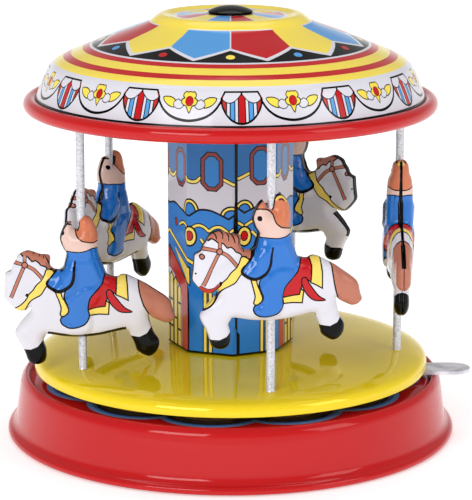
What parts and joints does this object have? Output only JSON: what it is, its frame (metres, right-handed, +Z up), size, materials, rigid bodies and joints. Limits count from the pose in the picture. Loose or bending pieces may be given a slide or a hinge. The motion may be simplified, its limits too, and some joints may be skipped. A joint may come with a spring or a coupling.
{
  "type": "wind up tin toy",
  "caption": "Wind-up pressed tin carousel with a clockwork base, a turning platform and domed roof on a printed column, and bears on horses that slide on poles.",
  "frame": {"origin": "centre of the flat bottom plate, on the surface the toy stands on", "axes": "+Z up along the spindle, +X towards the stop lever, -Y towards the viewer"},
  "size_m": [0.1141, 0.1104, 0.1046],
  "materials": {
    "red_enamel": "glossy red printed tin",
    "yellow_enamel": "glossy yellow printed tin",
    "blue_enamel": "glossy blue printed tin",
    "white_enamel": "glossy white printed tin",
    "black_enamel": "glossy black tin",
    "zinc": "spangled galvanised steel",
    "tinplate": "bare tinplate",
    "steel": "plain steel",
    "brass": "stamped brass",
    "spring_steel": "blued spring steel"
  },
  "bodies": {
    "base": {"base_shell": "red_enamel", "bottom_plate": "tinplate", "spindle_bush": "brass", "motor_top_plate": "steel", "motor_bottom_plate": "steel", "motor_pillar_1": "brass", "motor_pillar_2": "brass", "motor_pillar_3": "brass", "motor_pillar_4": "brass", "mainspring": "spring_steel", "lever_rivet": "steel"},
    "turntable": {"platform": "yellow_enamel", "column": "blue_enamel", "roof": "red_enamel", "roof_ceiling": "tinplate", "roof_cap": "black_enamel", "centre_rod": "steel", "spindle_pinion": "steel", "spindle_wheel": "brass", "spindle_collar": "brass"},
    "lever": {"stop_lever": "zinc"},
    "drive": {"great_wheel": "brass", "click": "steel"},
    "winder": {"ratchet_wheel": "steel", "winding_arbor": "steel", "winding_key": "steel"},
    "governor": {"governor_shaft": "steel", "governor_pinion": "brass", "governor_fly": "brass", "brake_drum": "steel"},
    "pole_body_1": {"pole_1": "zinc"},
    "rider_1": {"horse_rider_1_left": "white_enamel", "horse_rider_1_right": "white_enamel"},
    "pole_body_2": {"pole_2": "zinc"},
    "rider_2": {"horse_rider_2_left": "white_enamel", "horse_rider_2_right": "white_enamel"},
    "pole_body_3": {"pole_3": "zinc"},
    "rider_3": {"horse_rider_3_left": "white_enamel", "horse_rider_3_right": "white_enamel"},
    "pole_body_4": {"pole_4": "zinc"},
    "rider_4": {"horse_rider_4_left": "white_enamel", "horse_rider_4_right": "white_enamel"},
    "pole_body_5": {"pole_5": "zinc"},
    "rider_5": {"horse_rider_5_left": "white_enamel", "horse_rider_5_right": "white_enamel"}
  },
  "joints": [
    {"name": "turntable_spin", "type": "hinge", "parent": "base", "child": "turntable", "pos_m": [0, 0, 0.0145], "axis": [0, 0, 1], "continuous": true},
    {"name": "great_wheel_spin", "type": "hinge", "parent": "base", "child": "drive", "pos_m": [-0.023, 0, 0.0099], "axis": [0, 0, 1], "continuous": true},
    {"name": "governor_spin", "type": "hinge", "parent": "base", "child": "governor", "pos_m": [0.0125, 0.00455, 0.0076], "axis": [0, 0, 1], "continuous": true},
    {"name": "winding_turn", "type": "hinge", "parent": "base", "child": "winder", "pos_m": [-0.023, 0, 0.003], "axis": [0, 0, 1], "continuous": true},
    {"name": "lever_swing", "type": "hinge", "parent": "base", "child": "lever", "pos_m": [0.034, -0.0039, 0.0154], "axis": [0, 0, 1], "range_deg": [-7, 5]},
    {"name": "pole_swivel_1", "type": "hinge", "parent": "turntable", "child": "pole_body_1", "pos_m": [0.04084, -0.00357, 0.02035], "axis": [0, 0, 1], "continuous": true},
    {"name": "rider_slide_1", "type": "slide", "parent": "pole_body_1", "child": "rider_1", "axis": [0, 0, 1], "range_m": [-0.0112, 0.01225]},
    {"name": "pole_swivel_2", "type": "hinge", "parent": "turntable", "child": "pole_body_2", "pos_m": [0.01602, 0.03774, 0.02035], "axis": [0, 0, 1], "continuous": true},
    {"name": "rider_slide_2", "type": "slide", "parent": "pole_body_2", "child": "rider_2", "axis": [0, 0, 1], "range_m": [-0.01325, 0.01105]},
    {"name": "pole_swivel_3", "type": "hinge", "parent": "turntable", "child": "pole_body_3", "pos_m": [-0.03094, 0.0269, 0.02035], "axis": [0, 0, 1], "continuous": true},
    {"name": "rider_slide_3", "type": "slide", "parent": "pole_body_3", "child": "rider_3", "axis": [0, 0, 1], "range_m": [-0.0074, 0.0169]},
    {"name": "pole_swivel_4", "type": "hinge", "parent": "turntable", "child": "pole_body_4", "pos_m": [-0.03514, -0.02112, 0.02035], "axis": [0, 0, 1], "continuous": true},
    {"name": "rider_slide_4", "type": "slide", "parent": "pole_body_4", "child": "rider_4", "axis": [0, 0, 1], "range_m": [-0.00038, 0.0233]},
    {"name": "pole_swivel_5", "type": "hinge", "parent": "turntable", "child": "pole_body_5", "pos_m": [0.00922, -0.03995, 0.02035], "axis": [0, 0, 1], "continuous": true},
    {"name": "rider_slide_5", "type": "slide", "parent": "pole_body_5", "child": "rider_5", "axis": [0, 0, 1], "range_m": [-0.01005, 0.01425]}
  ],
  "couplings": [
    {"joint": "great_wheel_spin", "follows": "turntable_spin", "ratio": -0.27778},
    {"joint": "governor_spin", "follows": "turntable_spin", "ratio": -3.75}
  ]
}
